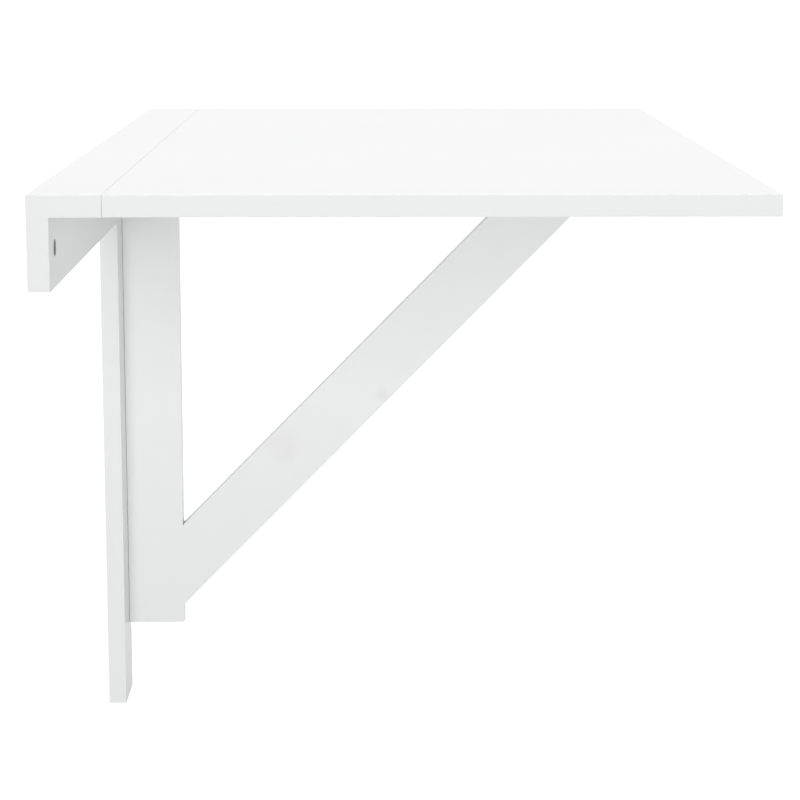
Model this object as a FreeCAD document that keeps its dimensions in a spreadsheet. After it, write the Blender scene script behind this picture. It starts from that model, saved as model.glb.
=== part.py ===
"""Wall-mounted drop-leaf table: a rail and a narrow shelf strip fixed to the wall, a leaf
hinged to the strip, and a triangular gate hinged to a wall post that swings out under the leaf.

Frame: the wall plane is x = 0 and +X points out of the wall, +Y runs along the wall, +Z is up.
The origin lies on the wall, halfway along the table, on the line of the rail's two wall screws.
All sizes are in millimetres. The pose is the table set up, with the gate square to the wall.
"""
import FreeCAD, Part
import os
import re
import Sketcher

Vector = FreeCAD.Vector
Rotation = FreeCAD.Rotation

doc = FreeCAD.newDocument("drop_leaf_table")
sheet = doc.addObject("Spreadsheet::Sheet", "sizes")

# Every size that can be set by itself, each written once.
SIZES = {
    # table top
    "table_length": 1000,
    "table_depth": 600,
    "top_thick": 18,
    "strip_depth": 60,
    "seam_gap": 0.25,
    "edge_round": 0.4,
    # wall rail and its wall screw holes
    "rail_height": 60,
    "rail_thick": 18,
    "rail_hole_drop": 28,
    "rail_hole_inset": 32,
    "wall_screw_bore": 2.75,
    "head_bore": 7,
    "head_bore_depth": 9,
    # wall post
    "post_width": 60,
    "post_thick": 18,
    "post_height": 500,
    "post_hole_inset": 78,
    "post_hole_pitch": 220,
    "post_hole_side": 20,
    # gate
    "gate_thick": 18,
    "gate_setback": 0.3,
    "gate_drop": 7,
    "gate_foot": 486,
    "gate_reach": 484,
    "stile_width": 57,
    "gate_rail_height": 51,
    "brace_width": 60,
    "brace_heel": 18.5,
    "brace_toe": 7.5,
    # glide block on the gate
    "glide_length": 44,
    "glide_width": 12,
    "glide_inset": 10,
    "glide_gap": 0.3,
    "glide_pin": 2.5,
    "glide_pin_length": 10,
    "glide_pin_inset": 9,
    # butt hinges
    "hinge_length": 48,
    "hinge_plate_width": 17,
    "hinge_plate_thick": 1.5,
    "hinge_standoff": 3,
    "knuckle": 2.7,
    "knuckle_gap": 0.2,
    "hinge_pin": 1.5,
    "hinge_pin_overrun": 0.8,
    "running_gap": 0.05,
    "knuckle_count": 5,
    "plate_relief": 0.3,
    "tool_overrun": 1,
    "leaf_hinge_pitch": 340,
    "gate_hinge_drop": 108,
    "gate_hinge_pitch": 330,
    # hinge screws
    "screw_line": 10.5,
    "screw_pitch": 16,
    "screw_head": 3.2,
    "screw_shank": 1.7,
    "screw_length": 13,
    "head_gap": 0.1,
    "bore_gap": 0.05,
    # dowels
    "dowel": 4,
    "dowel_length": 30,
    "strip_dowel_depth": 12,
    "dowel_end_gap": 1,
    "strip_dowel_first": 110,
    "strip_dowel_second": 420,
    "post_dowel_pitch": 24,
    "gate_rail_dowel_pitch": 30,
    "brace_dowel_pitch": 40,
    # cam locks
    "cam": 7.4,
    "cam_thick": 13.4,
    "cam_set": 24,
    "cam_slot_width": 1.2,
    "cam_slot_length": 9,
    "cam_slot_depth": 1.6,
    "cam_bolt": 2.9,
    "cam_bolt_sink": 3,
    "cam_bolt_way": 0.4,
    "cam_thread": 2.5,
    "cam_thread_length": 11,
    "strip_cam_pitch": 500,
    "brace_joint": 52.5,
}

# Places and sizes that follow from the ones above.
DERIVED = {
    "underside": "rail_hole_drop",
    "leaf_back": "strip_depth + seam_gap",
    "leaf_depth": "table_depth - leaf_back",
    "leaf_pivot_x": "strip_depth + seam_gap / 2",
    "leaf_pivot_z": "underside - hinge_standoff",
    "rail_bottom": "underside - rail_height",
    "post_bottom": "rail_bottom - post_height",
    "half_length": "table_length / 2",
    "gate_back": "post_thick + gate_setback",
    "gate_half": "gate_thick / 2",
    "gate_far": "post_width / 2",
    "gate_near": "gate_far - gate_thick",
    "gate_line": "gate_far - gate_half",
    "gate_top": "underside - gate_drop",
    "gate_bottom": "underside - gate_foot",
    "stile_length": "gate_foot - gate_drop",
    "stile_edge": "gate_back + stile_width",
    "gate_rail_length": "gate_reach - stile_edge",
    "gate_rail_bottom": "gate_top - gate_rail_height",
    "gate_pivot_x": "post_thick + gate_setback / 2",
    "gate_pivot_y": "gate_far + hinge_standoff",
    "brace_run": "gate_rail_length - brace_toe",
    "brace_rise": "gate_rail_bottom - gate_bottom - brace_heel",
    "brace_foot": "gate_bottom + brace_heel",
    "plate_start": "knuckle + plate_relief",
    "pin_bore": "hinge_pin + running_gap",
    "segment": "hinge_length / knuckle_count",
    "head_floor": "screw_shank",
    "shank_length": "screw_length - hinge_plate_thick",
    "pilot": "screw_shank + bore_gap",
    "pilot_depth": "shank_length + dowel_end_gap",
    "dowel_bore": "dowel + bore_gap",
    "half_dowel_bore": "dowel_length / 2 + dowel_end_gap / 2",
    "rail_dowel_bore": "dowel_length - strip_dowel_depth + dowel_end_gap",
    "cam_bore": "cam + bore_gap",
    "cam_bore_depth": "cam_thick + bore_gap",
    "thread_bore": "cam_thread + bore_gap",
    "thread_bore_depth": "cam_thread_length + dowel_end_gap",
    "bolt_bore": "cam_bolt + cam_bolt_way",
    "glide_height": "gate_drop - glide_gap",
    "glide_end": "gate_reach - glide_inset",
}

for row, (name, number) in enumerate(SIZES.items(), start=1):
    sheet.set(f"A{row}", name)
    sheet.set(f"B{row}", str(number))
    sheet.setAlias(f"B{row}", name)
doc.recompute()


def sized(text):
    """An expression in the names above, as FreeCAD reads it."""

    def swap(found):
        word = found.group(0)
        if word in SIZES:
            return "sizes." + word
        if word in DERIVED:
            return "(" + sized(DERIVED[word]) + ")"
        return word

    return re.sub(r"[a-z_]+", swap, str(text))


def amount(text):
    """The present value of an expression."""
    found = sheet.evalExpression(sized(text))
    return float(getattr(found, "Value", found))


def bind(thing, **properties):
    for name, text in properties.items():
        thing.setExpression(name, sized(text))


def place(thing, x, y, z, turn=None):
    thing.Placement = FreeCAD.Placement(Vector(0, 0, 0), turn or Rotation())
    for axis, text in zip("xyz", (x, y, z)):
        thing.setExpression("Placement.Base." + axis, sized(text))


# ---------------------------------------------------------------- boards: bodies with sketches

ALONG = {"X": Rotation(Vector(0, 1, 0), 90), "Y": Rotation(Vector(1, 0, 0), -90), "Z": Rotation()}


def sketch_on(body, name, plane, level="0"):
    """A sketch on one of the body's own planes, raised along that plane's normal."""
    sketch = body.newObject("Sketcher::SketchObject", name)
    support = next(f for f in body.Origin.OriginFeatures if f.Role == plane)
    sketch.AttachmentSupport = [(support, "")]
    sketch.MapMode = "FlatFace"
    if level != "0":
        sketch.setExpression("AttachmentOffset.Base.z", sized(level))
    return sketch


def fix(sketch, kind, *picks_and_text):
    """A dimension in a sketch, bound to an expression."""
    *picks, text = picks_and_text
    at = sketch.addConstraint(Sketcher.Constraint(kind, *picks, amount(text)))
    sketch.setExpression(f"Constraints[{at}]", sized(text))


def closed_outline(sketch, corners):
    """Straight edges from corner to corner, joined end to end, with the first on the origin."""
    points = [Vector(amount(u), amount(v), 0) for u, v in corners]
    count = len(points)
    for n, point in enumerate(points):
        sketch.addGeometry(Part.LineSegment(point, points[(n + 1) % count]))
    for n in range(count):
        sketch.addConstraint(Sketcher.Constraint("Coincident", n, 2, (n + 1) % count, 1))
    sketch.addConstraint(Sketcher.Constraint("Coincident", 0, 1, -1, 1))


def padded(body, sketch, thick):
    pad = body.newObject("PartDesign::Pad", body.Name + "_pad")
    pad.Profile = sketch
    bind(pad, Length=thick)
    body.Tip = pad
    doc.recompute()


def board(label, width, height, thick, x, y, z):
    """A rectangular board: width along X, height along Y of its sketch, thick along Z."""
    body = doc.addObject("PartDesign::Body", label)
    body.Label = label
    sketch = sketch_on(body, label + "_outline", "XY_Plane")
    closed_outline(sketch, [("0", "0"), (width, "0"), (width, height), ("0", height)])
    for edge, kind in enumerate(("Horizontal", "Vertical", "Horizontal", "Vertical")):
        sketch.addConstraint(Sketcher.Constraint(kind, edge))
    fix(sketch, "DistanceX", 0, 1, 0, 2, width)
    fix(sketch, "DistanceY", 1, 1, 1, 2, height)
    padded(body, sketch, thick)
    place(body, x, y, z)
    return body


def ease(body, on, off):
    """Rounds the edges of a board that lie on one of the first planes and on none of the second."""

    def lies(edge, axis, text):
        level = amount(text)
        return all(abs(getattr(v.Point, axis) - level) < Part.Precision.confusion()
                   for v in edge.Vertexes)

    sharp = body.Tip
    names = []
    for n, edge in enumerate(sharp.Shape.Edges, start=1):
        if any(lies(edge, *p) for p in on) and not any(lies(edge, *p) for p in off):
            names.append(f"Edge{n}")
    fillet = body.newObject("PartDesign::Fillet", body.Name + "_eased")
    fillet.Base = (sharp, names)
    bind(fillet, Radius="edge_round")
    body.Tip = fillet


def drill(body, name, plane, level, spots, radius, depth, forward):
    """Round blind holes at spots of one plane. forward cuts along the plane's normal."""
    sketch = sketch_on(body, name + "_centres", plane, level)
    for n, (u, v) in enumerate(spots):
        centre = Vector(amount(u), amount(v), 0)
        circle = Part.Circle(centre, Vector(0, 0, 1), amount(radius))
        sketch.addGeometry(circle)
        fix(sketch, "DistanceX", -1, 1, n, 3, u)
        fix(sketch, "DistanceY", -1, 1, n, 3, v)
        fix(sketch, "Radius", n, radius)
    pocket = body.newObject("PartDesign::Pocket", name)
    pocket.Profile = sketch
    pocket.Reversed = forward
    bind(pocket, Length=depth)
    body.Tip = pocket


# ---------------------------------------------------------------- turned and stamped pieces


def block(x, y, z, width, depth, height, turn=None):
    box = doc.addObject("Part::Box", "block")
    bind(box, Length=width, Width=depth, Height=height)
    place(box, x, y, z, turn)
    return box


def rod(x, y, z, along, radius, length):
    cylinder = doc.addObject("Part::Cylinder", "rod")
    bind(cylinder, Radius=radius, Height=length)
    place(cylinder, x, y, z, ALONG[along])
    return cylinder


def joined(pieces):
    fuse = doc.addObject("Part::MultiFuse", "joined")
    fuse.Shapes = pieces
    return fuse


def cut(base, tools):
    result = doc.addObject("Part::Cut", "cut")
    result.Base = base
    result.Tool = tools[0] if len(tools) == 1 else joined(tools)
    return result


def node(label, pieces):
    """One named sub-part: a piece, or a set of like pieces kept as separate solids."""
    compound = doc.addObject("Part::Compound", label)
    compound.Label = label
    compound.Links = pieces
    return compound


# ---------------------------------------------------------------- places shared by pieces

LEAF_HINGES = ["0 - leaf_hinge_pitch", "0 * leaf_hinge_pitch", "leaf_hinge_pitch"]
GATE_HINGES = ["underside - gate_hinge_drop", "underside - gate_hinge_drop - gate_hinge_pitch"]
SCREWS = ["0 - screw_pitch", "0 * screw_pitch", "screw_pitch"]
STRIP_DOWELS = [
    "0 - strip_dowel_second",
    "0 - strip_dowel_first",
    "strip_dowel_first",
    "strip_dowel_second",
]
STRIP_CAMS = ["0 - strip_cam_pitch / 2", "strip_cam_pitch / 2"]
POST_DOWELS = ["0 - post_dowel_pitch / 2", "post_dowel_pitch / 2"]
RAIL_HOLES = ["rail_hole_inset", "table_length - rail_hole_inset"]


def from_end(y):
    """A place along the wall, measured from the table's -Y end."""
    return f"half_length + ({y})"


def hinge_screw_spots(across, centres):
    """Where a row of hinges' screws enter a board: across the hinge, then along it."""
    return [(across, f"({centre}) + ({step})") for centre in centres for step in SCREWS]


# ---------------------------------------------------------------- wall rail, strip and post

# The rail is screwed to the wall and carries the strip. Sketch: thickness by length.
wall_rail = board(
    "wall_rail", "rail_thick", "table_length", "rail_height", "0", "0 - half_length", "rail_bottom"
)
ease(wall_rail, [("y", "0"), ("y", "table_length")], [("x", "0"), ("z", "rail_height")])
screw_spots = [(y, "rail_height - rail_hole_drop") for y in RAIL_HOLES]
drill(
    wall_rail, "rail_screw_bores", "YZ_Plane", "0", screw_spots, "wall_screw_bore", "rail_thick", True
)
drill(
    wall_rail, "rail_head_bores", "YZ_Plane", "rail_thick", screw_spots, "head_bore",
    "head_bore_depth", False,
)
middle_of_rail = [("rail_thick / 2", from_end(y)) for y in STRIP_DOWELS]
drill(
    wall_rail, "rail_dowel_bores", "XY_Plane", "rail_height", middle_of_rail, "dowel_bore",
    "rail_dowel_bore", False,
)
drill(
    wall_rail, "rail_cam_bores", "YZ_Plane", "0",
    [(from_end(y), "rail_height - cam_set") for y in STRIP_CAMS], "cam_bore", "cam_bore_depth", True,
)
drill(
    wall_rail, "rail_bolt_bores", "XY_Plane", "rail_height",
    [("rail_thick / 2", from_end(y)) for y in STRIP_CAMS], "bolt_bore", "cam_set", False,
)
drill(
    wall_rail, "rail_post_dowel_bores", "XY_Plane", "0",
    [("rail_thick / 2", from_end(y)) for y in POST_DOWELS], "dowel_bore", "half_dowel_bore", True,
)

# The strip lies on the rail and carries the leaf's hinges under its front edge.
fixed_strip = board(
    "fixed_strip", "strip_depth", "table_length", "top_thick", "0", "0 - half_length", "underside"
)
ease(fixed_strip, [("z", "top_thick")], [("x", "0"), ("x", "strip_depth")])
drill(
    fixed_strip, "strip_dowel_bores", "XY_Plane", "0", middle_of_rail, "dowel_bore",
    "strip_dowel_depth + dowel_end_gap / 2", True,
)
drill(
    fixed_strip, "strip_thread_bores", "XY_Plane", "0",
    [("rail_thick / 2", from_end(y)) for y in STRIP_CAMS], "thread_bore", "thread_bore_depth", True,
)
drill(
    fixed_strip, "strip_pilot_bores", "XY_Plane", "0",
    hinge_screw_spots("leaf_pivot_x - screw_line", [from_end(y) for y in LEAF_HINGES]),
    "pilot", "pilot_depth", True,
)

# The post is screwed to the wall under the rail. The gate's two hinges are on its far face,
# which the gate is flush with.
wall_post = board(
    "wall_post", "post_thick", "post_width", "post_height",
    "0", "0 - post_width / 2", "post_bottom",
)
ease(wall_post, [("x", "post_thick"), ("z", "0")], [("x", "0"), ("z", "post_height")])
post_holes = [
    ("post_width / 2 + post_hole_side", "post_height - post_hole_inset"),
    ("post_width / 2 + post_hole_side", "post_height - post_hole_inset - post_hole_pitch"),
]
drill(
    wall_post, "post_screw_bores", "YZ_Plane", "0", post_holes, "wall_screw_bore", "post_thick", True
)
drill(
    wall_post, "post_head_bores", "YZ_Plane", "post_thick", post_holes, "head_bore",
    "head_bore_depth", False,
)
drill(
    wall_post, "post_dowel_bores", "XY_Plane", "post_height",
    [("rail_thick / 2", f"post_width / 2 + ({y})") for y in POST_DOWELS], "dowel_bore",
    "half_dowel_bore", False,
)
drill(
    wall_post, "post_pilot_bores", "XZ_Plane", "0 - post_width",
    hinge_screw_spots("gate_pivot_x - screw_line", [f"({z}) - post_bottom" for z in GATE_HINGES]),
    "pilot", "pilot_depth", True,
)

# ---------------------------------------------------------------- leaf

leaf_panel = board(
    "leaf_panel", "leaf_depth", "table_length", "top_thick", "leaf_back", "0 - half_length", "underside"
)
ease(leaf_panel, [("x", "leaf_depth"), ("y", "0"), ("y", "table_length")], [("x", "0")])
drill(
    leaf_panel, "leaf_pilot_bores", "XY_Plane", "0",
    hinge_screw_spots("screw_line - seam_gap / 2", [from_end(y) for y in LEAF_HINGES]),
    "pilot", "pilot_depth", True,
)

# ---------------------------------------------------------------- gate

# The stile is the gate's upright. Its sketch is its width by its thickness.
gate_stile = board(
    "gate_stile", "stile_width", "gate_thick", "stile_length", "gate_back", "gate_near", "gate_bottom"
)
gate_rail_dowels = [
    "gate_rail_bottom + gate_rail_height / 2 - gate_rail_dowel_pitch / 2",
    "gate_rail_bottom + gate_rail_height / 2 + gate_rail_dowel_pitch / 2",
]
gate_rail_bolt = "gate_rail_bottom + gate_rail_height / 2"
brace_bolt_z = "brace_foot + brace_joint"
brace_foot_dowels = [
    "brace_foot + brace_joint - brace_dowel_pitch / 2",
    "brace_foot + brace_joint + brace_dowel_pitch / 2",
]
drill(
    gate_stile, "stile_dowel_bores", "YZ_Plane", "stile_width",
    [("gate_half", f"({z}) - gate_bottom") for z in gate_rail_dowels + brace_foot_dowels],
    "dowel_bore", "half_dowel_bore", False,
)
drill(
    gate_stile, "stile_thread_bores", "YZ_Plane", "stile_width",
    [("gate_half", f"({z}) - gate_bottom") for z in (gate_rail_bolt, brace_bolt_z)],
    "thread_bore", "thread_bore_depth", False,
)
drill(
    gate_stile, "stile_pilot_bores", "XZ_Plane", "0 - gate_thick",
    hinge_screw_spots(
        "gate_pivot_x - gate_back + screw_line", [f"({z}) - gate_bottom" for z in GATE_HINGES]
    ),
    "pilot", "pilot_depth", True,
)

# The top rail runs out from the stile under the leaf.
gate_top_rail = board(
    "gate_top_rail", "gate_rail_length", "gate_thick", "gate_rail_height",
    "stile_edge", "gate_near", "gate_rail_bottom",
)
ease(gate_top_rail, [("x", "gate_rail_length")], [("z", "0")])
brace_head = "gate_reach - brace_toe - brace_joint"
brace_head_dowels = [
    "gate_reach - brace_toe - brace_joint - brace_dowel_pitch / 2",
    "gate_reach - brace_toe - brace_joint + brace_dowel_pitch / 2",
]
drill(
    gate_top_rail, "top_rail_dowel_bores", "YZ_Plane", "0",
    [("gate_half", f"({z}) - gate_rail_bottom") for z in gate_rail_dowels],
    "dowel_bore", "half_dowel_bore", True,
)
drill(
    gate_top_rail, "top_rail_bolt_bore", "YZ_Plane", "0",
    [("gate_half", "gate_rail_height / 2")], "bolt_bore", "cam_set", True,
)
drill(
    gate_top_rail, "top_rail_cam_bore", "XZ_Plane", "0 - gate_thick",
    [("cam_set", "gate_rail_height / 2")], "cam_bore", "cam_bore_depth", True,
)
drill(
    gate_top_rail, "top_rail_brace_bores", "XY_Plane", "0",
    [(f"({x}) - stile_edge", "gate_half") for x in brace_head_dowels],
    "dowel_bore", "half_dowel_bore", True,
)
drill(
    gate_top_rail, "top_rail_thread_bore", "XY_Plane", "0",
    [(f"({brace_head}) - stile_edge", "gate_half")], "thread_bore", "thread_bore_depth", True,
)
glide_pins = ["glide_end - glide_pin_inset", "glide_end - glide_length + glide_pin_inset"]
drill(
    gate_top_rail, "top_rail_glide_bores", "XY_Plane", "gate_rail_height",
    [(f"({x}) - stile_edge", "gate_half") for x in glide_pins],
    "glide_pin + bore_gap", "glide_pin_length + dowel_end_gap", False,
)

# The brace runs from the stile's foot to the top rail's end. Its sketch lies in the gate's
# plane: up the stile's edge, along the underside of the top rail, and back down its two long
# edges, which are parallel.
gate_brace = doc.addObject("PartDesign::Body", "gate_brace")
gate_brace.Label = "gate_brace"
brace_side = sketch_on(gate_brace, "gate_brace_outline", "XZ_Plane")
slope_length = "sqrt(brace_run * brace_run + brace_rise * brace_rise)"
end_cut = f"brace_width * {slope_length} / brace_run"
head_cut = f"brace_width * {slope_length} / brace_rise"
closed_outline(
    brace_side,
    [
        ("0", "0"),
        ("brace_run", "brace_rise"),
        (f"brace_run - {head_cut}", "brace_rise"),
        ("0", end_cut),
    ],
)
brace_side.addConstraint(Sketcher.Constraint("Horizontal", 1))
brace_side.addConstraint(Sketcher.Constraint("Vertical", 3))
brace_side.addConstraint(Sketcher.Constraint("Parallel", 0, 2))
fix(brace_side, "DistanceX", 0, 1, 0, 2, "brace_run")
fix(brace_side, "DistanceY", 0, 1, 0, 2, "brace_rise")
fix(brace_side, "Distance", 0, 1, 2, "brace_width")
padded(gate_brace, brace_side, "gate_thick")
place(gate_brace, "stile_edge", "gate_far", "brace_foot")
drill(
    gate_brace, "brace_foot_dowel_bores", "YZ_Plane", "0",
    [("0 - gate_half", f"({z}) - brace_foot") for z in brace_foot_dowels],
    "dowel_bore", "half_dowel_bore", True,
)
drill(
    gate_brace, "brace_foot_bolt_bore", "YZ_Plane", "0",
    [("0 - gate_half", "brace_joint")], "bolt_bore", "cam_set", True,
)
drill(
    gate_brace, "brace_head_dowel_bores", "XY_Plane", "brace_rise",
    [(f"({x}) - stile_edge", "0 - gate_half") for x in brace_head_dowels],
    "dowel_bore", "half_dowel_bore", False,
)
drill(
    gate_brace, "brace_head_bolt_bore", "XY_Plane", "brace_rise",
    [(f"({brace_head}) - stile_edge", "0 - gate_half")], "bolt_bore", "cam_set", False,
)
drill(
    gate_brace, "brace_cam_bores", "XZ_Plane", "0",
    [("cam_set", "brace_joint"), (f"({brace_head}) - stile_edge", "brace_rise - cam_set")],
    "cam_bore", "cam_bore_depth", True,
)

# The glide is a nylon block on the end of the top rail. The leaf rests over it.
glide = block(
    "glide_end - glide_length", "gate_line - glide_width / 2", "gate_top",
    "glide_length", "glide_width", "glide_height",
)
pins = [rod(x, "gate_line", "gate_top - glide_pin_length", "Z", "glide_pin", "glide_pin_length + tool_overrun")
        for x in glide_pins]
node("gate_glide", [joined([glide] + pins)])

# ---------------------------------------------------------------- dowels

dowels = [
    rod("rail_thick / 2", y, "underside - dowel_length + strip_dowel_depth", "Z", "dowel", "dowel_length")
    for y in STRIP_DOWELS
]
node("strip_dowels", dowels)

dowels = [
    rod("rail_thick / 2", y, "rail_bottom - dowel_length / 2", "Z", "dowel", "dowel_length")
    for y in POST_DOWELS
]
node("post_dowels", dowels)

dowels = [
    rod("stile_edge - dowel_length / 2", "gate_line", z, "X", "dowel", "dowel_length")
    for z in gate_rail_dowels + brace_foot_dowels
]
dowels += [
    rod(x, "gate_line", "gate_rail_bottom - dowel_length / 2", "Z", "dowel", "dowel_length")
    for x in brace_head_dowels
]
node("gate_dowels", dowels)

# ---------------------------------------------------------------- cam locks and their bolts


def cam(x, y, z, face, way, reach_x, reach_z):
    """A zinc cam. Its face looks along face, and the bolt comes in along way."""
    if face == "-X":
        body = rod(x, y, z, "X", "cam", "cam_thick")
        depth = "cam_slot_depth"
        slots = [
            block(x, f"({y}) - cam_slot_length / 2", f"({z}) - cam_slot_width / 2",
                  depth, "cam_slot_length", "cam_slot_width"),
            block(x, f"({y}) - cam_slot_width / 2", f"({z}) - cam_slot_length / 2",
                  depth, "cam_slot_width", "cam_slot_length"),
        ]
    else:
        body = rod(x, f"({y}) - cam_thick", z, "Y", "cam", "cam_thick")
        start = f"({y}) - cam_slot_depth"
        slots = [
            block(f"({x}) - cam_slot_length / 2", start, f"({z}) - cam_slot_width / 2",
                  "cam_slot_length", "cam_slot_depth", "cam_slot_width"),
            block(f"({x}) - cam_slot_width / 2", start, f"({z}) - cam_slot_length / 2",
                  "cam_slot_width", "cam_slot_depth", "cam_slot_length"),
        ]
    return cut(body, slots + [rod(reach_x, way[1], reach_z, way[0], "bolt_bore", "cam + tool_overrun")])


def bolt(x, y, z, along):
    """A cam bolt: a plain shank from the cam to the joint face, then a thread into the wood."""
    shank = "(cam_set - cam_bolt_sink)"
    if along == "Z":
        plain = rod(x, y, f"({z}) - {shank}", "Z", "cam_bolt", shank)
        thread = rod(x, y, z, "Z", "cam_thread", "cam_thread_length")
    else:
        plain = rod(x, y, z, "X", "cam_bolt", shank)
        thread = rod(f"({x}) - cam_thread_length", y, z, "X", "cam_thread", "cam_thread_length")
    return joined([plain, thread])


cams = [
    cam("0", y, "underside - cam_set", "-X", ("Z", y), "rail_thick / 2", "underside - cam_set")
    for y in STRIP_CAMS
]
node("strip_cams", cams)
node("strip_cam_bolts", [bolt("rail_thick / 2", y, "underside", "Z") for y in STRIP_CAMS])

side_cams = [
    cam(
        "stile_edge + cam_set", "gate_far", z, "+Y", ("X", "gate_line"),
        "stile_edge + cam_set - cam - tool_overrun", z,
    )
    for z in (gate_rail_bolt, brace_bolt_z)
]
head_cam_z = "gate_rail_bottom - cam_set"
head_cam = cam(
    brace_head, "gate_far", head_cam_z, "+Y", ("Z", "gate_line"), brace_head, head_cam_z
)
node("gate_cams", side_cams + [head_cam])
side_bolts = [bolt("stile_edge", "gate_line", z, "X") for z in (gate_rail_bolt, brace_bolt_z)]
head_bolt = bolt(brace_head, "gate_line", "gate_rail_bottom", "Z")
node("gate_cam_bolts", side_bolts + [head_bolt])

# ---------------------------------------------------------------- hinges

# A butt hinge has five knuckles on one pin. The outer plate has knuckles 0, 2 and 4, and the
# inner plate has 1 and 3. Each is made with the pin along +Z and its plate along +X, at the
# foot of the knuckle, and is then turned to its place.
OUTER, INNER = (0, 2, 4), (1, 3)


def hinge_plate(numbers, mirrored):
    """One plate of a hinge with its knuckles. mirrored puts the plate on the -X side."""
    back = "0 - hinge_standoff"
    low = "0 - hinge_length / 2"
    start = "0 - hinge_plate_width" if mirrored else "plate_start"
    flat = block(start, back, low, "hinge_plate_width - plate_start", "hinge_plate_thick", "hinge_length")
    pieces = [flat]
    for n in numbers:
        foot = f"{low} + {n} * segment + knuckle_gap / 2"
        tall = "segment - knuckle_gap"
        tab_start = "0 - plate_start" if mirrored else "0"
        pieces.append(block(tab_start, back, foot, "plate_start", "hinge_plate_thick", tall))
        pieces.append(rod("0", "0", foot, "Z", "knuckle", tall))
    over = low + " - tool_overrun"
    tools = [rod("0", "0", over, "Z", "pin_bore", "hinge_length + 2 * tool_overrun")]
    line = "0 - screw_line" if mirrored else "screw_line"
    for step in SCREWS:
        tools.append(countersink(line, step, "head_gap"))
    return cut(joined(pieces), tools)


def countersink(x, z, gap):
    """The cone of a countersunk head, wide end at the plate's free face."""
    cone = doc.addObject("Part::Cone", "cone")
    bind(
        cone,
        Radius1=f"screw_head + {gap}",
        Radius2=f"head_floor + {gap}",
        Height="hinge_plate_thick",
    )
    place(cone, x, "hinge_plate_thick - hinge_standoff", z, Rotation(Vector(1, 0, 0), 90))
    return cone


def hinge_screw(x, z):
    """A countersunk screw with a cross recess, head flush with the plate."""
    head = countersink(x, z, "0")
    shank = doc.addObject("Part::Cylinder", "shank")
    bind(shank, Radius="screw_shank", Height="shank_length")
    place(shank, x, "0 - hinge_standoff", z, Rotation(Vector(1, 0, 0), 90))
    return joined([head, shank])


def hinge_set(label, piece_of, centres, turn):
    """The same piece of every hinge of a row, turned and set on that row's pivot line."""
    pieces = []
    for x, y, z in centres:
        piece = piece_of()
        place(piece, x, y, z, turn)
        pieces.append(piece)
    return node(label, pieces)


def screw_row(mirrored):
    """The three screws of one plate, as one compound so that they turn together."""
    line = "0 - screw_line" if mirrored else "screw_line"
    row = doc.addObject("Part::Compound", "screw_row")
    row.Links = [hinge_screw(line, step) for step in SCREWS]
    return row


def hinge_pin():
    length = "hinge_length + 2 * hinge_pin_overrun"
    low = "0 - hinge_length / 2 - hinge_pin_overrun"
    wrap = doc.addObject("Part::Compound", "pin")
    wrap.Links = [rod("0", "0", low, "Z", "hinge_pin", length)]
    return wrap


# Leaf hinges: the pin runs along Y under the seam. Local +Y points down, so that the plates
# lie against the undersides, and local +X points at the leaf.
leaf_turn = Rotation(Vector(1, 0, 0), Vector(0, 0, -1), Vector(0, 1, 0), "XYZ")
leaf_rows = [("leaf_pivot_x", y, "leaf_pivot_z") for y in LEAF_HINGES]
hinge_set("leaf_hinge_strip_plates", lambda: hinge_plate(OUTER, True), leaf_rows, leaf_turn)
hinge_set("leaf_hinge_leaf_plates", lambda: hinge_plate(INNER, False), leaf_rows, leaf_turn)
hinge_set("leaf_hinge_pins", hinge_pin, leaf_rows, leaf_turn)
hinge_set("leaf_hinge_strip_screws", lambda: screw_row(True), leaf_rows, leaf_turn)
hinge_set("leaf_hinge_leaf_screws", lambda: screw_row(False), leaf_rows, leaf_turn)

# Gate hinges: the pin is upright behind the joint between the post and the gate, whose far
# faces are flush. The plates lie on those faces, the post's towards the wall.
gate_rows = [("gate_pivot_x", "gate_pivot_y", z) for z in GATE_HINGES]
gate_turn = Rotation()
hinge_set("gate_hinge_post_plates", lambda: hinge_plate(OUTER, True), gate_rows, gate_turn)
hinge_set("gate_hinge_gate_plates", lambda: hinge_plate(INNER, False), gate_rows, gate_turn)
hinge_set("gate_hinge_pins", hinge_pin, gate_rows, gate_turn)
hinge_set("gate_hinge_post_screws", lambda: screw_row(True), gate_rows, gate_turn)
hinge_set("gate_hinge_gate_screws", lambda: screw_row(False), gate_rows, gate_turn)

# ---------------------------------------------------------------- build, test and write

doc.recompute()

BODIES = "PartDesign::Body"
parts = [o for o in doc.Objects if o.TypeId == BODIES]
parts += [o for o in doc.Objects if o.TypeId == "Part::Compound" and o.Name == o.Label and not o.InList]

for thing in doc.Objects:
    if "Invalid" in thing.State or "Error" in thing.State:
        raise RuntimeError(f"{thing.Name} failed: {thing.State}")
for pocket in (o for o in doc.Objects if o.TypeId == "PartDesign::Pocket"):
    removed = pocket.BaseFeature.Shape.Volume - pocket.Shape.Volume
    if removed < 1:
        raise RuntimeError(f"{pocket.Name} cuts nothing")
for part in parts:
    if part.Shape.isNull() or not part.Shape.isValid():
        raise RuntimeError(f"{part.Label} has a bad shape")

os.makedirs("parts", exist_ok=True)
for part in parts:
    part.Shape.exportStep(f"parts/{part.Label}.step")
    print(part.Label, len(part.Shape.Solids), round(part.Shape.Volume))
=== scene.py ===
import math
import bmesh
import bpy
from mathutils import Euler, Matrix, Vector


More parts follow.
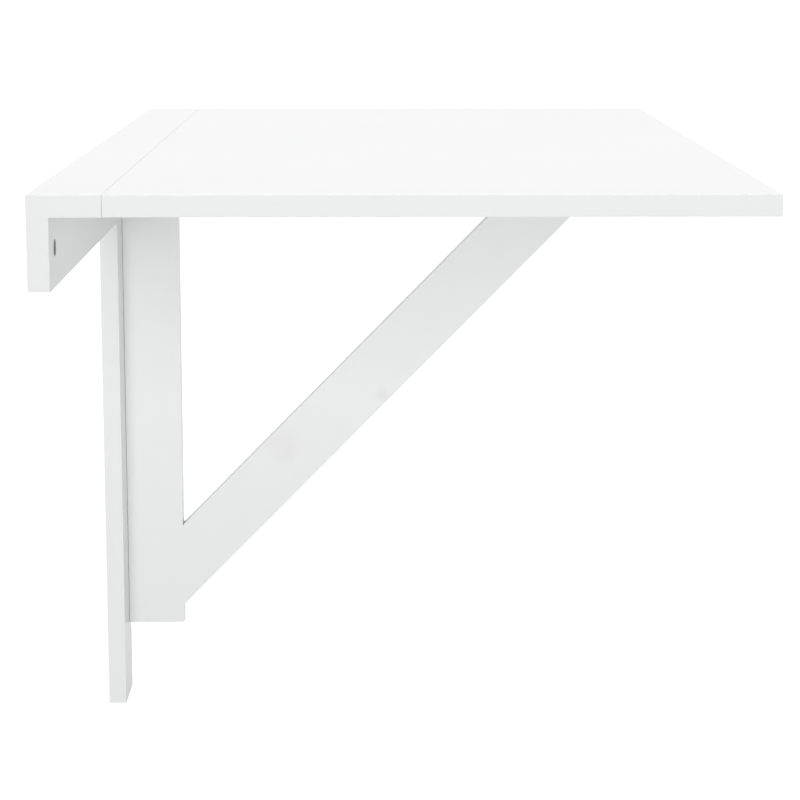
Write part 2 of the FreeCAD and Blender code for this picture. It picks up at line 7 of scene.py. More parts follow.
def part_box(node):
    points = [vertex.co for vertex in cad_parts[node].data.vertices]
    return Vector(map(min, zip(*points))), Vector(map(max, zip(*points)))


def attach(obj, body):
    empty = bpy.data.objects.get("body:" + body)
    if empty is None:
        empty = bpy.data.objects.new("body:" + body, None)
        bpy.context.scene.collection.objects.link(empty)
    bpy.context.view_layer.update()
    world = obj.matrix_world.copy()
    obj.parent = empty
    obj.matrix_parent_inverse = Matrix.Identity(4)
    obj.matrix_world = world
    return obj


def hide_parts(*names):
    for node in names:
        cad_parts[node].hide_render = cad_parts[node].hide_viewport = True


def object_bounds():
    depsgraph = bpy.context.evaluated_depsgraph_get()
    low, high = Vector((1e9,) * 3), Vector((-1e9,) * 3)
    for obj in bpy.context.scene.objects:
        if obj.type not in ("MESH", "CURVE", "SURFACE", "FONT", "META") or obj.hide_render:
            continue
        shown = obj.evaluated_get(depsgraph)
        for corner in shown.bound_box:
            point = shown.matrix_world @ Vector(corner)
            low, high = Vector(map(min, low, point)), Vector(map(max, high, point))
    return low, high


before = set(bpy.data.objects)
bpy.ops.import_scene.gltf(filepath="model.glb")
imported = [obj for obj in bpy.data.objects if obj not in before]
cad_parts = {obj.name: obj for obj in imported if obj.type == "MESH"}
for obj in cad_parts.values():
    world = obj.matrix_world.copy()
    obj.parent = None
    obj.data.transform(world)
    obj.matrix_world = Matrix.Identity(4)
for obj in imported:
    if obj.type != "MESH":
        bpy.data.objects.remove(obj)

cad_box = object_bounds()


# ---------------------------------------------------------------------------------------------
# Wall rail. A length of 18 mm board, 60 mm tall, screwed to the wall through two counterbored
# holes. It is cut to length and sprayed with white satin lacquer on all sides, and then drilled,
# so its holes show the raw core, in a grey darkened with painted shade.

mm = 0.001


def srgb(red, green, blue):
    """A colour from its screen values, 0 to 255, as Blender's linear colour."""
    shares = [value / 255 for value in (red, green, blue)]
    linear = [s / 12.92 if s <= 0.04045 else ((s + 0.055) / 1.055) ** 2.4 for s in shares]
    return (*linear, 1)


def wire(tree, kind, sockets=None, **settings):
    """One shader node. Each socket is given a value or another node's output."""
    node = tree.nodes.new(kind)
    for key, value in settings.items():
        setattr(node, key, value)
    for key, value in (sockets or {}).items():
        if isinstance(value, bpy.types.NodeSocket):
            tree.links.new(value, node.inputs[key])
        else:
            node.inputs[key].default_value = value
    return node


def maths(tree, operation, *values):
    """A Math node's result."""
    node = wire(tree, "ShaderNodeMath", dict(enumerate(values)), operation=operation)
    return node.outputs[0]


def vectors(tree, operation, *values):
    """A Vector Math node's vector result."""
    node = wire(tree, "ShaderNodeVectorMath", dict(enumerate(values)), operation=operation)
    return node.outputs[0]


def ramp(tree, value, low, high, to_low=0.0, to_high=1.0):
    """A value carried smoothly from one range to another."""
    sockets = {
        "Value": value,
        "From Min": low,
        "From Max": high,
        "To Min": to_low,
        "To Max": to_high,
    }
    node = wire(tree, "ShaderNodeMapRange", sockets, interpolation_type="SMOOTHSTEP")
    return node.outputs["Result"]


def tint(tree, share, first, second):
    """A mix of two colours: the first at a share of 0, the second at 1."""
    factor, color_a, color_b, mixed = 0, 6, 7, 2
    sockets = {factor: share, color_a: first, color_b: second}
    return wire(tree, "ShaderNodeMix", sockets, data_type="RGBA").outputs[mixed]


def cloudy(tree, place, scale, detail=2.0, rough=0.5):
    """Even noise about 1 / scale metres across."""
    sockets = {"Vector": place, "Scale": scale, "Detail": detail, "Roughness": rough}
    return wire(tree, "ShaderNodeTexNoise", sockets).outputs["Fac"]


def new_group(name, ins, outs):
    """A shader node group with the given sockets, its input node and its output node."""
    tree = bpy.data.node_groups.new(name, "ShaderNodeTree")
    for label, kind in ins:
        tree.interface.new_socket(label, in_out="INPUT", socket_type="NodeSocket" + kind)
    for label, kind in outs:
        tree.interface.new_socket(label, in_out="OUTPUT", socket_type="NodeSocket" + kind)
    return tree, tree.nodes.new("NodeGroupInput"), tree.nodes.new("NodeGroupOutput")


def new_material(name, **shader):
    """An empty material with a Principled shader, whose plain values are given."""
    material = bpy.data.materials.new(name)
    material.use_nodes = True
    surface = material.node_tree.nodes["Principled BSDF"]
    for key, value in shader.items():
        surface.inputs[key.replace("_", " ")].default_value = value
    return material, material.node_tree, surface


def own_place(tree):
    """The point on the piece, in metres."""
    return tree.nodes.new("ShaderNodeTexCoord").outputs["Object"]


def place_group(tree, group, **values):
    """A node group set into a material, with its own values."""
    node = wire(tree, "ShaderNodeGroup")
    node.node_tree = group
    for key, value in values.items():
        socket = node.inputs[key.replace("_", " ")]
        if isinstance(value, bpy.types.NodeSocket):
            tree.links.new(value, socket)
        else:
            socket.default_value = value
    return node


def bump(tree, surface, height, strength, distance):
    """Fine relief from a height."""
    sockets = {"Height": height, "Strength": strength, "Distance": distance}
    relief = wire(tree, "ShaderNodeBump", sockets)
    tree.links.new(relief.outputs["Normal"], surface.inputs["Normal"])


def dress(node, material):
    """Gives a CAD node its finish."""
    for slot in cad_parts[node].material_slots:
        slot.material = material


# Sprayed lacquer, for a board between two corners, low and high. It has a slight orange peel, a
# tone and gloss that drift over the board, and a painted highlight along its edges, where the
# coat is also a little glossier.
sprayed, gave, out = new_group(
    "sprayed lacquer",
    [
        ("Point", "Vector"),
        ("Paint", "Color"),
        ("Low", "Vector"),
        ("High", "Vector"),
        ("Edge", "Float"),
    ],
    [("Color", "Color"), ("Roughness", "Float"), ("Height", "Float")],
)
point = gave.outputs["Point"]
paint = gave.outputs["Paint"]

# Of a point's distances to the nearest face across X, Y and Z, the middle one is its distance
# to the nearest edge.
from_low = vectors(sprayed, "SUBTRACT", point, gave.outputs["Low"])
from_high = vectors(sprayed, "SUBTRACT", gave.outputs["High"], point)
inward = vectors(sprayed, "MINIMUM", from_low, from_high)
in_x, in_y, in_z = wire(sprayed, "ShaderNodeSeparateXYZ", {0: inward}).outputs
lesser = maths(sprayed, "MINIMUM", in_x, in_y)
greater = maths(sprayed, "MAXIMUM", in_x, in_y)
to_edge = maths(sprayed, "MAXIMUM", lesser, maths(sprayed, "MINIMUM", greater, in_z))
waver = maths(sprayed, "MULTIPLY", cloudy(sprayed, point, 90.0, 3.0), 0.6 * mm)
near_edge = ramp(
    sprayed, maths(sprayed, "ADD", to_edge, waver), 0.4 * mm, 1.5 * mm, 1.0, 0.0
)
edge_highlight = maths(sprayed, "MULTIPLY", near_edge, gave.outputs["Edge"])

thin_coat = vectors(sprayed, "MULTIPLY", paint, (0.985, 0.988, 0.985))
tone = ramp(sprayed, cloudy(sprayed, point, 3.0, 3.0), 0.3, 0.7)
drifted = tint(sprayed, tone, thin_coat, paint)
# Near the edges the colour goes towards a brighter white: a painted highlight where the eased
# edges catch the light.
sprayed.links.new(tint(sprayed, edge_highlight, drifted, srgb(250, 250, 248)), out.inputs["Color"])

gloss = ramp(sprayed, cloudy(sprayed, point, 7.0, 3.0), 0.2, 0.8, 0.3, 0.36)
buffed = maths(sprayed, "SUBTRACT", gloss, maths(sprayed, "MULTIPLY", edge_highlight, 0.05))
sprayed.links.new(buffed, out.inputs["Roughness"])

peel = maths(sprayed, "MULTIPLY", cloudy(sprayed, point, 420.0, 1.0), 0.35)
flow = maths(sprayed, "MULTIPLY", cloudy(sprayed, point, 60.0, 1.0), 0.65)
sprayed.links.new(maths(sprayed, "ADD", peel, flow), out.inputs["Height"])

white = srgb(243, 245, 244)
# The raw core in the holes, darkened to a neutral grey that also paints in the shade inside them.
shaded_core_dark = srgb(168, 166, 162)
shaded_core_pale = srgb(190, 188, 184)


def lacquered(name, low, high, edge=0.0, turn=0.0, about=(0, 0, 0), bored=None, filled=None):
    """White lacquer for one board, whose corners are given before its turn about Y.

    bored(tree, point) marks the holes, whose raw core is darkened with painted shade, and
    filled(tree, point) marks filler under the coat.
    """
    material, tree, surface = new_material(name, Specular_IOR_Level=0.5)
    point = own_place(tree)
    board_point = point
    if turn:
        turned = {"Vector": point, "Center": about, "Angle": turn}
        board_point = wire(
            tree, "ShaderNodeVectorRotate", turned, rotation_type="Y_AXIS"
        ).outputs[0]
    coat = place_group(
        tree, sprayed, Point=board_point, Paint=white, Low=low, High=high, Edge=edge
    )
    color = coat.outputs["Color"]
    rough = coat.outputs["Roughness"]
    if filled:
        dulled = vectors(tree, "MULTIPLY", color, (0.962, 0.952, 0.953))
        color = tint(tree, filled(tree, point), color, dulled)
    # Inside the holes the colour goes to the core grey, which is raw core and painted shade
    # together.
    if bored:
        raw = bored(tree, point)
        core = tint(tree, cloudy(tree, point, 1400.0, 2.0), shaded_core_dark, shaded_core_pale)
        color = tint(tree, raw, color, core)
        rough = maths(tree, "MAXIMUM", rough, maths(tree, "MULTIPLY", raw, 0.9))
    tree.links.new(color, surface.inputs["Base Color"])
    tree.links.new(rough, surface.inputs["Roughness"])
    bump(tree, surface, coat.outputs["Height"], 0.12, 0.05 * mm)
    return material


# The counterbores for the wall screws' heads are 7 mm in radius. Their mark goes a hair past.
head_bore = 7.03 * mm


def bored_along_x(middle_y, middle_z, half_y, half_z):
    """Marks counterbores that stand either side of a middle, half a pitch from it."""

    def mark(tree, point):
        _, y, z = wire(tree, "ShaderNodeSeparateXYZ", {0: point}).outputs
        squares = []
        for place, middle, half in ((y, middle_y, half_y), (z, middle_z, half_z)):
            out_from_middle = maths(tree, "ABSOLUTE", maths(tree, "SUBTRACT", place, middle))
            offset = maths(tree, "SUBTRACT", out_from_middle, half)
            squares.append(maths(tree, "MULTIPLY", offset, offset))
        return maths(tree, "LESS_THAN", maths(tree, "ADD", *squares), head_bore**2)

    return mark


rail_holes = bored_along_x(0, 0, half_y=0.468, half_z=0)
low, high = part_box("wall_rail")
dress("wall_rail", lacquered("rail_lacquer", low, high, bored=rail_holes))


# ---------------------------------------------------------------------------------------------
# Fixed strip. The same board, 60 mm deep, lying flat on the rail. It stays on the wall when the
# leaf is down.

# Strip and leaf are sawn from one sprayed top, so they share its edges with the painted
# highlight.
# The far low corner leaves out the edges at the wall and underneath, which get no painted
# highlight.
no_highlight_reach = 1.0
low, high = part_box("fixed_strip")
top_low = (low[0] - no_highlight_reach, low[1], low[2] - no_highlight_reach)
top_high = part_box("leaf_panel")[1]
dress("fixed_strip", lacquered("strip_lacquer", top_low, top_high, edge=0.5))


# ---------------------------------------------------------------------------------------------
# Wall post. It stands under the rail and carries the gate's hinges. Two more wall screws go
# through it, in counterbored holes behind the gate's stile.

post_holes = bored_along_x(0.02, -0.22, half_y=0, half_z=0.11)
low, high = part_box("wall_post")
dress("wall_post", lacquered("post_lacquer", low, high, bored=post_holes))


# ---------------------------------------------------------------------------------------------
# Dowels. Beech pins, 8 by 30 mm, that line up the strip, rail and post, and the gate's joints.
# They are turned with the grain along them and pressed in dry.


def beech(name, stretch):
    """Raw beech, with its noise drawn out along the grain by a scale for each axis."""
    material, tree, surface = new_material(name, Roughness=0.62)
    drawn = {"Vector": own_place(tree), "Scale": stretch}
    along = wire(tree, "ShaderNodeMapping", drawn).outputs[0]
    grain = cloudy(tree, along, 900.0, 4.0, 0.6)
    flecks = ramp(tree, cloudy(tree, along, 2600.0, 1.0), 0.62, 0.75, 0.0, 0.5)
    wood = tint(tree, grain, srgb(196, 156, 112), srgb(222, 190, 148))
    tree.links.new(tint(tree, flecks, wood, srgb(150, 104, 66)), surface.inputs["Base Color"])
    bump(tree, surface, grain, 0.4, 0.1 * mm)
    return material


beech_upright = beech("beech_upright", (1, 1, 0.08))
dress("strip_dowels", beech_upright)
dress("post_dowels", beech_upright)
dress("gate_dowels", beech("beech_level", (0.08, 1, 1)))


# ---------------------------------------------------------------------------------------------
# Cam locks. Die-cast zinc cams, 15 mm across, in the rail's back and the gate's far side, with
# zinc-plated steel bolts. The cross slot in each face takes a screwdriver.

cast_zinc, tree, surface = new_material("cast_zinc", Metallic=1.0)
point = own_place(tree)
skin = cloudy(tree, point, 1500.0, 3.0, 0.6)
blotched = tint(tree, cloudy(tree, point, 160.0, 2.0), srgb(168, 170, 172), srgb(196, 198, 200))
tree.links.new(blotched, surface.inputs["Base Color"])
tree.links.new(ramp(tree, skin, 0.3, 0.7, 0.38, 0.55), surface.inputs["Roughness"])
bump(tree, surface, skin, 0.35, 0.06 * mm)

zinc_plate, tree, surface = new_material("zinc_plate", Metallic=1.0)
point = own_place(tree)
passivated = tint(tree, cloudy(tree, point, 260.0, 2.0), srgb(196, 200, 206), srgb(216, 216, 212))
tree.links.new(passivated, surface.inputs["Base Color"])
brightness = ramp(tree, cloudy(tree, point, 900.0, 2.0), 0.3, 0.7, 0.22, 0.34)
tree.links.new(brightness, surface.inputs["Roughness"])
dress("strip_cam_bolts", zinc_plate)
dress("gate_cam_bolts", zinc_plate)


def drawn_out(piece, rim, move, grow, about=(0, 0, 0)):
    """Carries an open rim on by one ring of faces. Gives back the new rim."""
    grown = bmesh.ops.extrude_edge_only(piece, edges=rim)["geom"]
    verts = [v for v in grown if isinstance(v, bmesh.types.BMVert)]
    bmesh.ops.scale(piece, verts=verts, vec=grow, space=Matrix.Translation(-Vector(about)))
    bmesh.ops.translate(piece, verts=verts, vec=move)
    return [e for e in grown if isinstance(e, bmesh.types.BMEdge)]


def crossed_head(shape, place, face, arm, slot_half, deep, rings):
    """A round head of radius face that looks along the place's +Z, with a cross recess.

    The recess reaches arm from the middle, is two slot_halfs wide, and narrows on its way down.
    The rings, each a drop and a radius, carry the head's rim down to its closed far end.
    """
    piece = bmesh.new()
    bmesh.ops.create_circle(piece, cap_ends=True, cap_tris=False, segments=32, radius=face)
    for cut in (-arm, -slot_half, slot_half, arm):
        for normal in ((1, 0, 0), (0, 1, 0)):
            everything = piece.verts[:] + piece.edges[:] + piece.faces[:]
            spot = Vector(normal) * cut
            bmesh.ops.bisect_plane(piece, geom=everything, plane_co=spot, plane_no=normal)
    cross = []
    for flat in piece.faces:
        middle = flat.calc_center_median()
        near, far = sorted((abs(middle.x), abs(middle.y)))
        if near < slot_half and far < arm:
            cross.append(flat)
    rim = [edge for edge in piece.edges if edge.is_boundary]
    sunk = bmesh.ops.extrude_face_region(piece, geom=cross)["geom"]
    recess_floor = [v for v in sunk if isinstance(v, bmesh.types.BMVert)]
    bmesh.ops.delete(piece, geom=[flat for flat in cross if flat.is_valid], context="FACES")
    bmesh.ops.scale(piece, verts=recess_floor, vec=(0.6, 0.6, 1))
    bmesh.ops.translate(piece, verts=recess_floor, vec=(0, 0, -deep))
    across = face
    for drop, radius in rings:
        rim = drawn_out(piece, rim, (0, 0, -drop), (radius / across, radius / across, 1))
        across = radius
    bmesh.ops.contextual_create(piece, geom=rim)
    add_to(shape, piece, place)


def add_to(shape, piece, place):
    """Puts one piece's mesh into a row's, at its place."""
    bmesh.ops.transform(piece, matrix=place, verts=piece.verts)
    bmesh.ops.recalc_face_normals(piece, faces=piece.faces)
    made = bpy.data.meshes.new("made")
    piece.to_mesh(made)
    piece.free()
    shape.from_mesh(made)
    bpy.data.meshes.remove(made)


def stand_for(name, node, body, shape, material):
    """A finished mesh shown in the place of a CAD node, and moving with its body."""
    mesh = bpy.data.meshes.new(name)
    shape.to_mesh(mesh)
    shape.free()
    mesh.materials.append(material)
    piece = bpy.data.objects.new(name, mesh)
    bpy.context.scene.collection.objects.link(piece)
    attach(piece, body)
    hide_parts(node)


cam = 7.4 * mm
cam_face = 6.9 * mm
cam_far_end = 7.0 * mm
cam_slot = 4.5 * mm
cam_slot_half = 0.6 * mm
cam_slot_depth = 1.6 * mm
cam_chamfer = 0.5 * mm
cam_side = 12.5 * mm
cam_far_chamfer = 0.4 * mm
cam_to_joint = 24 * mm


def cams(name, node, body, centres, facing):
    """A row of cams, whose crossed faces lie at the centres and look one way."""
    shape = bmesh.new()
    look = Vector(facing).to_track_quat("Z", "Y").to_matrix().to_4x4()
    rings = ((cam_chamfer, cam), (cam_side, cam), (cam_far_chamfer, cam_far_end))
    for centre in centres:
        place = Matrix.Translation(centre) @ look
        crossed_head(
            shape, place, cam_face, cam_slot, cam_slot_half, cam_slot_depth, rings
        )
    stand_for(name, node, body, shape, cast_zinc)


low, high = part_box("strip_cams")
middle_z = (low[2] + high[2]) / 2
rail_cams = [(low[0], low[1] + cam, middle_z), (low[0], high[1] - cam, middle_z)]
cams("rail_cams", "strip_cams", "wall_frame", rail_cams, (-1, 0, 0))

low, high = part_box("gate_cams")
gate_rail_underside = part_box("gate_top_rail")[0][2]
gate_cams = [
    (low[0] + cam, high[1], high[2] - cam),
    (low[0] + cam, high[1], low[2] + cam),
    (high[0] - cam, high[1], gate_rail_underside - cam_to_joint),
]
cams("gate_side_cams", "gate_cams", "gate", gate_cams, (0, 1, 0))


# ---------------------------------------------------------------------------------------------
# Hinges. Steel butt hinges, 48 mm long, powder-coated white like the boards: three under the
# seam of the top, and two behind the joint of post and gate. Each plate is stamped from 1.5 mm
# sheet and rolled round the pin in turns with the other plate.

powder, tree, surface = new_material("white_powder_coat", Specular_IOR_Level=0.5)
point = own_place(tree)
pebble = cloudy(tree, point, 1100.0, 2.0)
shade = cloudy(tree, point, 90.0, 2.0)
coated = tint(tree, shade, srgb(233, 235, 234), srgb(241, 243, 242))
tree.links.new(coated, surface.inputs["Base Color"])
tree.links.new(ramp(tree, pebble, 0.3, 0.7, 0.34, 0.46), surface.inputs["Roughness"])
bump(tree, surface, pebble, 0.35, 0.04 * mm)

# A hinge is worked out with its pin on the Z axis and its plates facing +Y, one on each side of
# the pin. The knuckle, pin bore and sinks are radii, and the places run out from the pin.
hinge_half = 24 * mm
plate_start = 3 * mm
plate_end = 17 * mm
plate_back = -3 * mm
plate_face = -1.5 * mm
plate_corner = 3 * mm
face_edge = 0.25 * mm
knuckle = 2.7 * mm
pin_bore = 1.55 * mm
knuckle_gap = 0.2 * mm
knuckle_pitch = 2 * hinge_half / 5
rolled_turn = math.radians(-293)
screw_line = 10.5 * mm
screw_steps = (-16 * mm, 0.0, 16 * mm)
sink_face = 3.3 * mm
sink_back = 1.8 * mm

# The pins say where the hinges are. The leaf's lie along Y and face down.
low, high = (Vector(corner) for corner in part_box("leaf_hinge_pins"))
middle = (low + high) / 2
face_down = Matrix(((1, 0, 0), (0, 0, 1), (0, -1, 0))).to_4x4()
leaf_places = [
    Matrix.Translation((middle.x, y, middle.z)) @ face_down
    for y in (low.y + hinge_half, 0.0, high.y - hinge_half)
]
low, high = (Vector(corner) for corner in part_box("gate_hinge_pins"))
middle = (low + high) / 2
gate_places = [
    Matrix.Translation((middle.x, middle.y, z))
    for z in (low.z + hinge_half, high.z - hinge_half)
]
other_side = Matrix.Diagonal((-1, 1, 1, 1))


def pierced_plate(shape):
    """The flat of a plate on the pin's +X side, with round outer corners and three holes."""
    wide, long = plate_end - plate_start - face_edge, 2 * (hinge_half - face_edge)
    upright = Matrix.Rotation(math.pi / 2, 4, "X")
    middle = Matrix.Translation((plate_start + wide / 2, plate_face, 0))
    laid = middle @ Matrix.Diagonal((wide, 1, long, 1)) @ upright
    flat = bmesh.ops.create_grid(shape, x_segments=1, y_segments=1, size=0.5, matrix=laid)
    corners = [v for v in flat["verts"] if v.co.x > screw_line]
    bmesh.ops.bevel(
        shape, geom=corners, offset=plate_corner - face_edge, affect="VERTICES", segments=8,
        profile=0.5, material=-1,
    )
    bmesh.ops.delete(shape, geom=shape.faces[:], context="FACES_ONLY")
    rim = shape.edges[:]
    holes = []
    for step in screw_steps:
        spot = Matrix.Translation((screw_line, plate_face, step)) @ upright
        ring = bmesh.ops.create_circle(
            shape, cap_ends=False, segments=32, radius=sink_face, matrix=spot
        )
        holes.append(list({edge for corner in ring["verts"] for edge in corner.link_edges}))
    bmesh.ops.triangle_fill(shape, use_beauty=True, use_dissolve=False, edges=shape.edges[:])
    eased = (1 + face_edge / wide, 1, 2 * hinge_half / long)
    rim = drawn_out(shape, rim, (0, -face_edge, 0), eased, (plate_start, 0, 0))
    rim = drawn_out(shape, rim, (0, plate_back - plate_face + face_edge, 0), (1, 1, 1))
    sink = (sink_back / sink_face, 1, sink_back / sink_face)
    for step, hole in zip(screw_steps, holes):
        depth = (0, plate_back - plate_face, 0)
        rim += drawn_out(shape, hole, depth, sink, (screw_line, 0, step))
    bmesh.ops.triangle_fill(shape, use_beauty=True, use_dissolve=False, edges=rim)


def rolled_knuckle(shape, start, end):
    """A tongue of the plate, bent up and rolled round the pin until it meets the plate."""
    section = ((pin_bore, start), (knuckle, start), (knuckle, end), (pin_bore, end))
    foot = shape.faces.new([shape.verts.new((0, -radius, z)) for radius, z in section])
    bmesh.ops.spin(
        shape, geom=[foot, *foot.edges, *foot.verts], cent=(0, 0, 0), axis=(0, 0, 1),
        dvec=(0, 0, 0), angle=rolled_turn, steps=30, use_merge=False, use_duplicate=False,
    )
    skin = 0.02 * mm
    bend = (knuckle / 3, plate_back + 0.07 * mm)
    for x, below in (bend, (plate_start + face_edge, plate_back + skin)):
        foot = bmesh.ops.extrude_discrete_faces(shape, faces=[foot])["faces"][0]
        for corner in foot.verts:
            lower = corner.co.y < (plate_back + plate_face) / 2
            corner.co.xy = x, below if lower else plate_face - skin


def hinge_plate(knuckles):
    """A plate with its rolled knuckles, which are numbered from the bottom."""
    shape = bmesh.new()
    pierced_plate(shape)
    for number in knuckles:
        start = -hinge_half + number * knuckle_pitch + knuckle_gap / 2
        rolled_knuckle(shape, start, start + knuckle_pitch - knuckle_gap)
    return shape


def plates(name, node, body, places, knuckles, side=Matrix()):
    """A row of hinge plates, one at each place, on one side of their pins."""
    shape = bmesh.new()
    for place in places:
        add_to(shape, hinge_plate(knuckles), place @ side)
    stand_for(name, node, body, shape, powder)


outer, inner = (0, 2, 4), (1, 3)
plates(
    "strip_plates", "leaf_hinge_strip_plates", "wall_frame", leaf_places, outer, other_side
)
plates("leaf_plates", "leaf_hinge_leaf_plates", "leaf", leaf_places, inner)
plates("post_plates", "gate_hinge_post_plates", "wall_frame", gate_places, outer, other_side)
plates("gate_plates", "gate_hinge_gate_plates", "gate", gate_places, inner)


pin = 1.5 * mm
pin_overrun = 0.8 * mm
pin_dome = 0.7 * mm


def hinge_pins(name, node, places):
    """Pins of hard wire, with domed ends that stand out of the knuckles."""
    shape = bmesh.new()
    for place in places:
        wire_pin = bmesh.new()
        bmesh.ops.create_cone(
            wire_pin, cap_ends=True, cap_tris=False, segments=24, radius1=pin, radius2=pin,
            depth=2 * (hinge_half + pin_overrun),
        )
        rims = [e for e in wire_pin.edges if e.verts[0].co.z * e.verts[1].co.z > 0]
        bmesh.ops.bevel(
            wire_pin, geom=rims, offset=pin_dome, affect="EDGES", segments=5, profile=0.5,
            material=-1,
        )
        add_to(shape, wire_pin, place)
    stand_for(name, node, "wall_frame", shape, zinc_plate)


hinge_pins("leaf_pins", "leaf_hinge_pins", leaf_places)
hinge_pins("gate_pins", "gate_hinge_pins", gate_places)


# ---------------------------------------------------------------------------------------------
# Hinge screws. Countersunk steel screws, 3.5 by 13 mm, with a cross recess, three to each hinge
# plate. Zinc-plated, flush with the plate.

screw_head = 3.2 * mm
screw_shank = 1.7 * mm
screw_shank_length = 8.5 * mm
screw_tip = 0.2 * mm
screw_tip_length = 3 * mm
recess_arm = 2.0 * mm
recess_half = 0.42 * mm
recess_depth = 1.2 * mm


def screws(name, node, body, places, side):
    """Three screws to each plate, on the pin's +X side or its -X side, turned as they came."""
    shape = bmesh.new()
    cone = (plate_face - plate_back, screw_shank)
    shank = (screw_shank_length, screw_shank)
    tip = (screw_tip_length, screw_tip)
    outward = Matrix.Rotation(math.radians(-90), 4, "X")
    for row, place in enumerate(places):
        for number, step in enumerate(screw_steps):
            head = Matrix.Translation((side * screw_line, plate_face, step))
            turned = Matrix.Rotation(math.radians(37 * number + 61 * row), 4, "Z")
            at = place @ head @ outward @ turned
            crossed_head(
                shape, at, screw_head, recess_arm, recess_half, recess_depth,
                (cone, shank, tip),
            )
    stand_for(name, node, body, shape, zinc_plate)


screws("strip_hinge_screws", "leaf_hinge_strip_screws", "wall_frame", leaf_places, -1)
screws("leaf_side_hinge_screws", "leaf_hinge_leaf_screws", "leaf", leaf_places, 1)
screws("post_hinge_screws", "gate_hinge_post_screws", "wall_frame", gate_places, -1)
screws("gate_side_hinge_screws", "gate_hinge_gate_screws", "gate", gate_places, 1)


# ---------------------------------------------------------------------------------------------
# Leaf. The part of the top that folds down, 1000 by 540 mm of the same lacquered board, hinged
# to the strip with a narrow gap between them.

dress("leaf_panel", lacquered("leaf_lacquer", top_low, top_high, edge=0.5))


# ---------------------------------------------------------------------------------------------
# Gate. A stile, a top rail and a slanting brace of lacquered board, held together by cams and
# dowels. It swings out square to the wall to carry the leaf.

for node, finish in (("gate_stile", "stile_lacquer"), ("gate_top_rail", "gate_rail_lacquer")):
    low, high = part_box(node)
    dress(node, lacquered(finish, low, high))

# Two spots on the brace's near face were filled and sanded before the last coat, and show a
# little darker. Each has its place in X and Z, and its radius.
brace_low, brace_high = (Vector(corner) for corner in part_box("gate_brace"))
brace_spots = ((0.1825, -0.2700, 22 * mm), (0.2830, -0.2160, 10 * mm))


def brace_filler(tree, point):
    """Marks the filled spots, with soft and uneven rims."""
    waver = maths(tree, "SUBTRACT", cloudy(tree, point, 70.0, 2.0), 0.5)
    shown = 0.0
    for x, z, radius in brace_spots:
        offset = vectors(tree, "SUBTRACT", point, (x, brace_low.y, z))
        shallow = vectors(tree, "MULTIPLY", offset, (1, 3, 1))
        away = wire(tree, "ShaderNodeVectorMath", {0: shallow}, operation="LENGTH")
        uneven = maths(tree, "MULTIPLY_ADD", waver, radius, away.outputs["Value"])
        spot = ramp(tree, uneven, 0.3 * radius, radius, 1.0, 0.0)
        shown = maths(tree, "MAXIMUM", shown, spot)
    return shown


# Turned level about its low corner, the brace lies between these two corners. They reach past
# its slanted ends, so that only the edges along it count.
slant = math.atan2(brace_high.z - brace_low.z, brace_high.x - brace_low.x)
level_low = brace_low - Vector((0.1, 0, 0))
level_high = brace_low + Vector((0.7, 0.018, 0.06))
dress(
    "gate_brace",
    lacquered(
        "brace_lacquer", level_low, level_high, turn=slant, about=brace_low, filled=brace_filler
    ),
)


# ---------------------------------------------------------------------------------------------
# Glide. A block of white nylon let into the end of the gate's top rail on two pins, with its
# edges rounded, so that the leaf slides over it without marking.

nylon, tree, surface = new_material("nylon", Roughness=0.42)
point = own_place(tree)
milky = tint(tree, cloudy(tree, point, 120.0, 2.0), srgb(226, 225, 220), srgb(236, 235, 231))
tree.links.new(milky, surface.inputs["Base Color"])
across = wire(tree, "ShaderNodeMapping", {"Vector": point, "Scale": (1, 0.06, 1)}).outputs[0]
scuffs = ramp(tree, cloudy(tree, across, 1500.0, 2.0), 0.58, 0.72)
bump(tree, surface, scuffs, 0.3, 0.03 * mm)

glide_corner = 3 * mm
glide_crown = 1.2 * mm
glide_sunk = 0.02 * mm
low, high = (Vector(corner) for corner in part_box("gate_glide"))
low.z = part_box("gate_top_rail")[1][2] - glide_sunk
block = bmesh.new()
bmesh.ops.create_cube(block, size=1.0)
bmesh.ops.scale(block, verts=block.verts, vec=high - low)
bmesh.ops.translate(block, verts=block.verts, vec=(high + low) / 2)
upright = [e for e in block.edges if abs(e.verts[0].co.z - e.verts[1].co.z) > mm]
bmesh.ops.bevel(
    block, geom=upright, offset=glide_corner, affect="EDGES", segments=6, profile=0.5, material=-1
)
crown = [e for e in block.edges if min(v.co.z for v in e.verts) > high.z - 0.1 * mm]
bmesh.ops.bevel(
    block, geom=crown, offset=glide_crown, affect="EDGES", segments=4, profile=0.5, material=-1
)
stand_for("glide_block", "gate_glide", "gate", block, nylon)


# ---------------------------------------------------------------------------------------------
# Floor. Pale and plain, 750 mm below the top of the table, and bright enough to read as white.
# From underneath it is clear.

table_height = 0.75
floor_reach = 60.0
floor_level = cad_box[1].z - table_height
ground = bmesh.new()
bmesh.ops.create_grid(ground, x_segments=1, y_segments=1, size=floor_reach)
bmesh.ops.translate(ground, verts=ground.verts, vec=(0, 0, floor_level))
mesh = bpy.data.meshes.new("floor")
ground.to_mesh(mesh)
ground.free()
floor = bpy.data.objects.new("floor", mesh)
bpy.context.scene.collection.objects.link(floor)

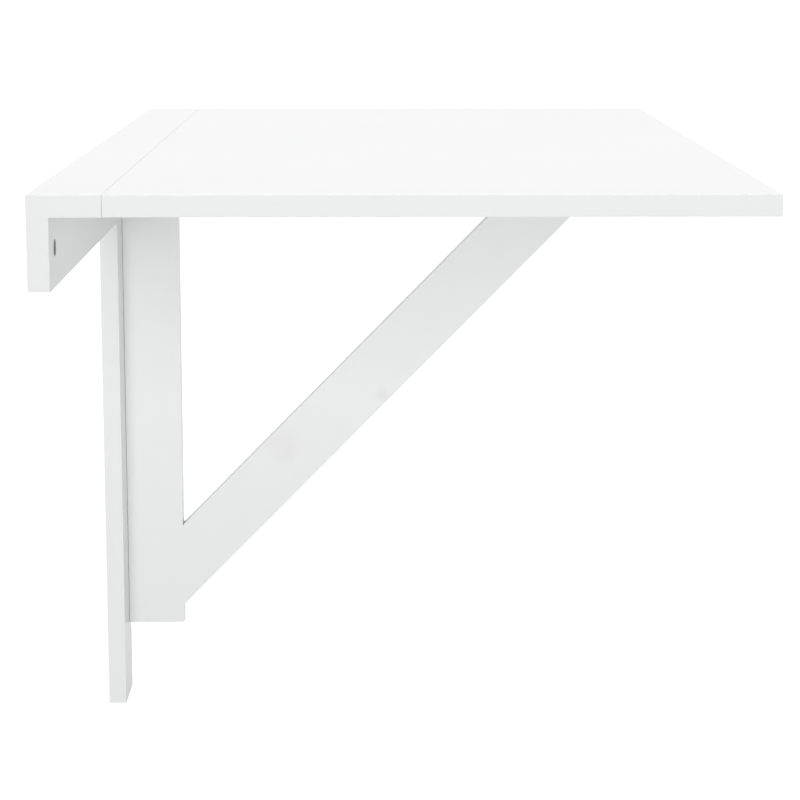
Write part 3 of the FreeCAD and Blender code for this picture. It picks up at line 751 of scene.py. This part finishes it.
# Its own light is seen by the camera and in reflections alone, and lights nothing.
seen_glow = 0.73
mirrored_glow = 0.62
pale = bpy.data.materials.new("pale_floor")
pale.use_nodes = True
tree = pale.node_tree
tree.nodes.clear()
matt = wire(tree, "ShaderNodeBsdfDiffuse", {"Color": (0.8, 0.8, 0.8, 1)})
ray = tree.nodes.new("ShaderNodeLightPath").outputs
seen = maths(tree, "MULTIPLY", ray["Is Camera Ray"], seen_glow)
mirrored = maths(tree, "MULTIPLY", ray["Is Glossy Ray"], mirrored_glow)
own_light = maths(tree, "MAXIMUM", seen, mirrored)
glow = wire(tree, "ShaderNodeEmission", {"Color": (1, 1, 1, 1), "Strength": own_light})
lit = wire(tree, "ShaderNodeAddShader", {0: matt.outputs[0], 1: glow.outputs[0]})
clear = tree.nodes.new("ShaderNodeBsdfTransparent")
from_below = tree.nodes.new("ShaderNodeNewGeometry").outputs["Backfacing"]
sides = {0: from_below, 1: lit.outputs[0], 2: clear.outputs[0]}
one_sided = wire(tree, "ShaderNodeMixShader", sides)
wire(tree, "ShaderNodeOutputMaterial", {"Surface": one_sided.outputs[0]})
mesh.materials.append(pale)


# ---------------------------------------------------------------------------------------------
# Studio light. An even pale room with one soft panel high above the table, two wide ones far off
# beyond its near end, low and high, and one behind it that fills in its back.

room_level = 0.355
room = bpy.data.worlds.new("room")
bpy.context.scene.world = room
room.use_nodes = True
tree = room.node_tree
tree.nodes.clear()
ray = tree.nodes.new("ShaderNodeLightPath").outputs
seen = maths(tree, "MAXIMUM", ray["Is Camera Ray"], ray["Is Glossy Ray"])
seen = maths(tree, "MAXIMUM", seen, ray["Is Transmission Ray"])
level = maths(tree, "MAXIMUM", seen, room_level)
air = wire(tree, "ShaderNodeBackground", {"Color": (1, 1, 1, 1), "Strength": level})
wire(tree, "ShaderNodeOutputWorld", {"Surface": air.outputs[0]})


def soft_panel(name, at, aim, size, power, color=(1, 1, 1)):
    """A square-edged lamp that the camera doesn't see."""
    lamp = bpy.data.lights.new(name, "AREA")
    lamp.shape = "RECTANGLE"
    lamp.size, lamp.size_y = size
    lamp.energy = power
    lamp.color = color
    panel = bpy.data.objects.new(name, lamp)
    panel.location = at
    panel.rotation_euler = (Vector(aim) - Vector(at)).to_track_quat("-Z", "Y").to_euler()
    panel.visible_camera = False
    bpy.context.scene.collection.objects.link(panel)


brace_middle = (0.3, 0.0, -0.2)
soft_panel(
    "top_panel", (0.3, 0.0, 7.0), (0.3, 0.0, 0.0), (3.0, 3.0), 288.0, (1.0, 0.966, 0.986)
)
soft_panel("front_panel", (0.3, -48.0, 2.4), brace_middle, (24.0, 6.0), 4220.0)
soft_panel("high_front_panel", (0.3, -45.0, 13.0), brace_middle, (24.0, 15.0), 4360.0)
soft_panel("back_panel", (-33.0, 35.0, 2.4), brace_middle, (24.0, 6.0), 2600.0)


# ---------------------------------------------------------------------------------------------
# Camera. It stands beyond the near end of the table, a little above its top, and looks along it.

tilt_down = 0.16099
turn_right = 0.00985
lens = bpy.data.cameras.new("camera")
lens.sensor_width = 36.0
lens.lens = 102.05775
lens.shift_y = -0.10
lens.clip_end = 200.0
camera = bpy.data.objects.new("camera", lens)
camera.location = (0.27867, -2.28614, 0.23562)
camera.rotation_euler = Euler((math.pi / 2 - tilt_down, 0.0, -turn_right), "XYZ")
bpy.context.scene.collection.objects.link(camera)
bpy.context.scene.camera = camera
bpy.context.scene.view_settings.view_transform = "Standard"
